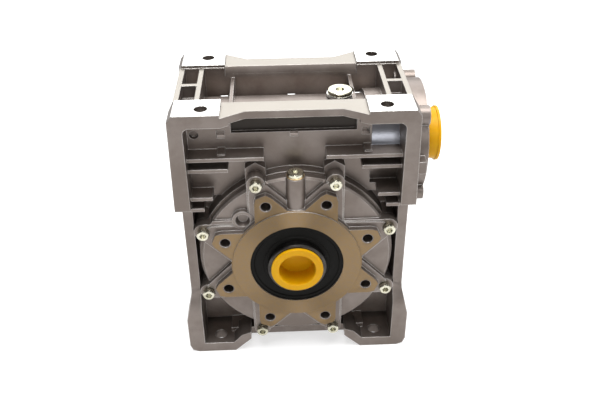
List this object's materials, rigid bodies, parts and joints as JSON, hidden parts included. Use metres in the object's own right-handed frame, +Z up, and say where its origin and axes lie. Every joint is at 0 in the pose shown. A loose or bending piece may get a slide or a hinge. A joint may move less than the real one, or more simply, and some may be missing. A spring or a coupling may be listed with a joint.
{
  "type": "worm gearbox",
  "caption": "Right-angle worm gearbox in a ribbed die-cast housing with a hollow keyed output shaft, a star flange, mounting feet and a plugged input bore.",
  "frame": {"origin": "centre of the hollow output shaft bore, midway between the two output flanges", "axes": "+Y along the output bore towards the rear flange, +X along the worm axis towards the input side, +Z up from the feet to the worm"},
  "size_m": [0.224, 0.1425, 0.2445],
  "materials": {
    "cast_aluminium": "satin",
    "cover_aluminium": "satin",
    "seal_rubber": "matte",
    "zinc_steel": "satin",
    "washer_copper": "satin",
    "washer_aluminium": "satin",
    "hub_iron": "satin",
    "wheel_bronze": "satin",
    "worm_steel": "polished",
    "spring_steel": "satin",
    "bearing_steel": "polished",
    "cage_brass": "satin",
    "cap_yellow": "gloss"
  },
  "bodies": {
    "case": {"housing": "cast_aluminium", "output_cover": "cover_aluminium", "cover_o_ring": "seal_rubber", "cover_screws": "zinc_steel", "cover_plug": "zinc_steel", "cover_plug_washer": "washer_copper", "filler_plug": "zinc_steel", "filler_plug_washer": "washer_aluminium", "blind_end_cap": "seal_rubber", "input_circlip": "spring_steel", "blind_circlip": "spring_steel", "input_seal": "seal_rubber", "output_seal_front": "seal_rubber", "output_seal_rear": "seal_rubber", "output_bearing_front_outer_ring": "bearing_steel", "output_bearing_rear_outer_ring": "bearing_steel", "input_bearing_outer_ring": "bearing_steel", "blind_bearing_outer_ring": "bearing_steel"},
    "output_shaft": {"output_hub": "hub_iron", "worm_wheel": "wheel_bronze", "output_bearing_front_inner_ring": "bearing_steel", "output_bearing_rear_inner_ring": "bearing_steel"},
    "worm": {"worm_shaft": "worm_steel", "input_bearing_inner_ring": "bearing_steel", "blind_bearing_inner_ring": "bearing_steel"},
    "output_plug": {"output_cap": "cap_yellow"},
    "input_plug": {"input_cap": "cap_yellow"},
    "output_bearing_front_set": {"output_bearing_front_balls": "bearing_steel", "output_bearing_front_cage": "cage_brass"},
    "output_bearing_rear_set": {"output_bearing_rear_balls": "bearing_steel", "output_bearing_rear_cage": "cage_brass"},
    "input_bearing_set": {"input_bearing_balls": "bearing_steel", "input_bearing_cage": "cage_brass"},
    "blind_bearing_set": {"blind_bearing_balls": "bearing_steel", "blind_bearing_cage": "cage_brass"}
  },
  "joints": [
    {"name": "output_spin", "type": "hinge", "parent": "case", "child": "output_shaft", "pos_m": [0, 0, 0], "axis": [0, 1, 0], "continuous": true},
    {"name": "worm_spin", "type": "hinge", "parent": "case", "child": "worm", "pos_m": [0, 0, 0.09], "axis": [1, 0, 0], "continuous": true},
    {"name": "output_cap_pull", "type": "slide", "parent": "output_shaft", "child": "output_plug", "axis": [0, -1, 0], "range_m": [0, 0.04]},
    {"name": "input_cap_pull", "type": "slide", "parent": "worm", "child": "input_plug", "axis": [1, 0, 0], "range_m": [0, 0.04]},
    {"name": "output_bearing_front_orbit", "type": "hinge", "parent": "case", "child": "output_bearing_front_set", "pos_m": [0, -0.0415, 0], "axis": [0, 1, 0], "continuous": true},
    {"name": "output_bearing_rear_orbit", "type": "hinge", "parent": "case", "child": "output_bearing_rear_set", "pos_m": [0, 0.0415, 0], "axis": [0, 1, 0], "continuous": true},
    {"name": "input_bearing_orbit", "type": "hinge", "parent": "case", "child": "input_bearing_set", "pos_m": [0.0895, 0, 0.09], "axis": [1, 0, 0], "continuous": true},
    {"name": "blind_bearing_orbit", "type": "hinge", "parent": "case", "child": "blind_bearing_set", "pos_m": [-0.0815, 0, 0.09], "axis": [1, 0, 0], "continuous": true}
  ],
  "couplings": [
    {"joint": "worm_spin", "follows": "output_spin", "ratio": -30},
    {"joint": "output_bearing_front_orbit", "follows": "output_spin", "ratio": 0.43308},
    {"joint": "output_bearing_rear_orbit", "follows": "output_spin", "ratio": 0.43308},
    {"joint": "input_bearing_orbit", "follows": "output_spin", "ratio": -12.744},
    {"joint": "blind_bearing_orbit", "follows": "output_spin", "ratio": -11.974}
  ]
}
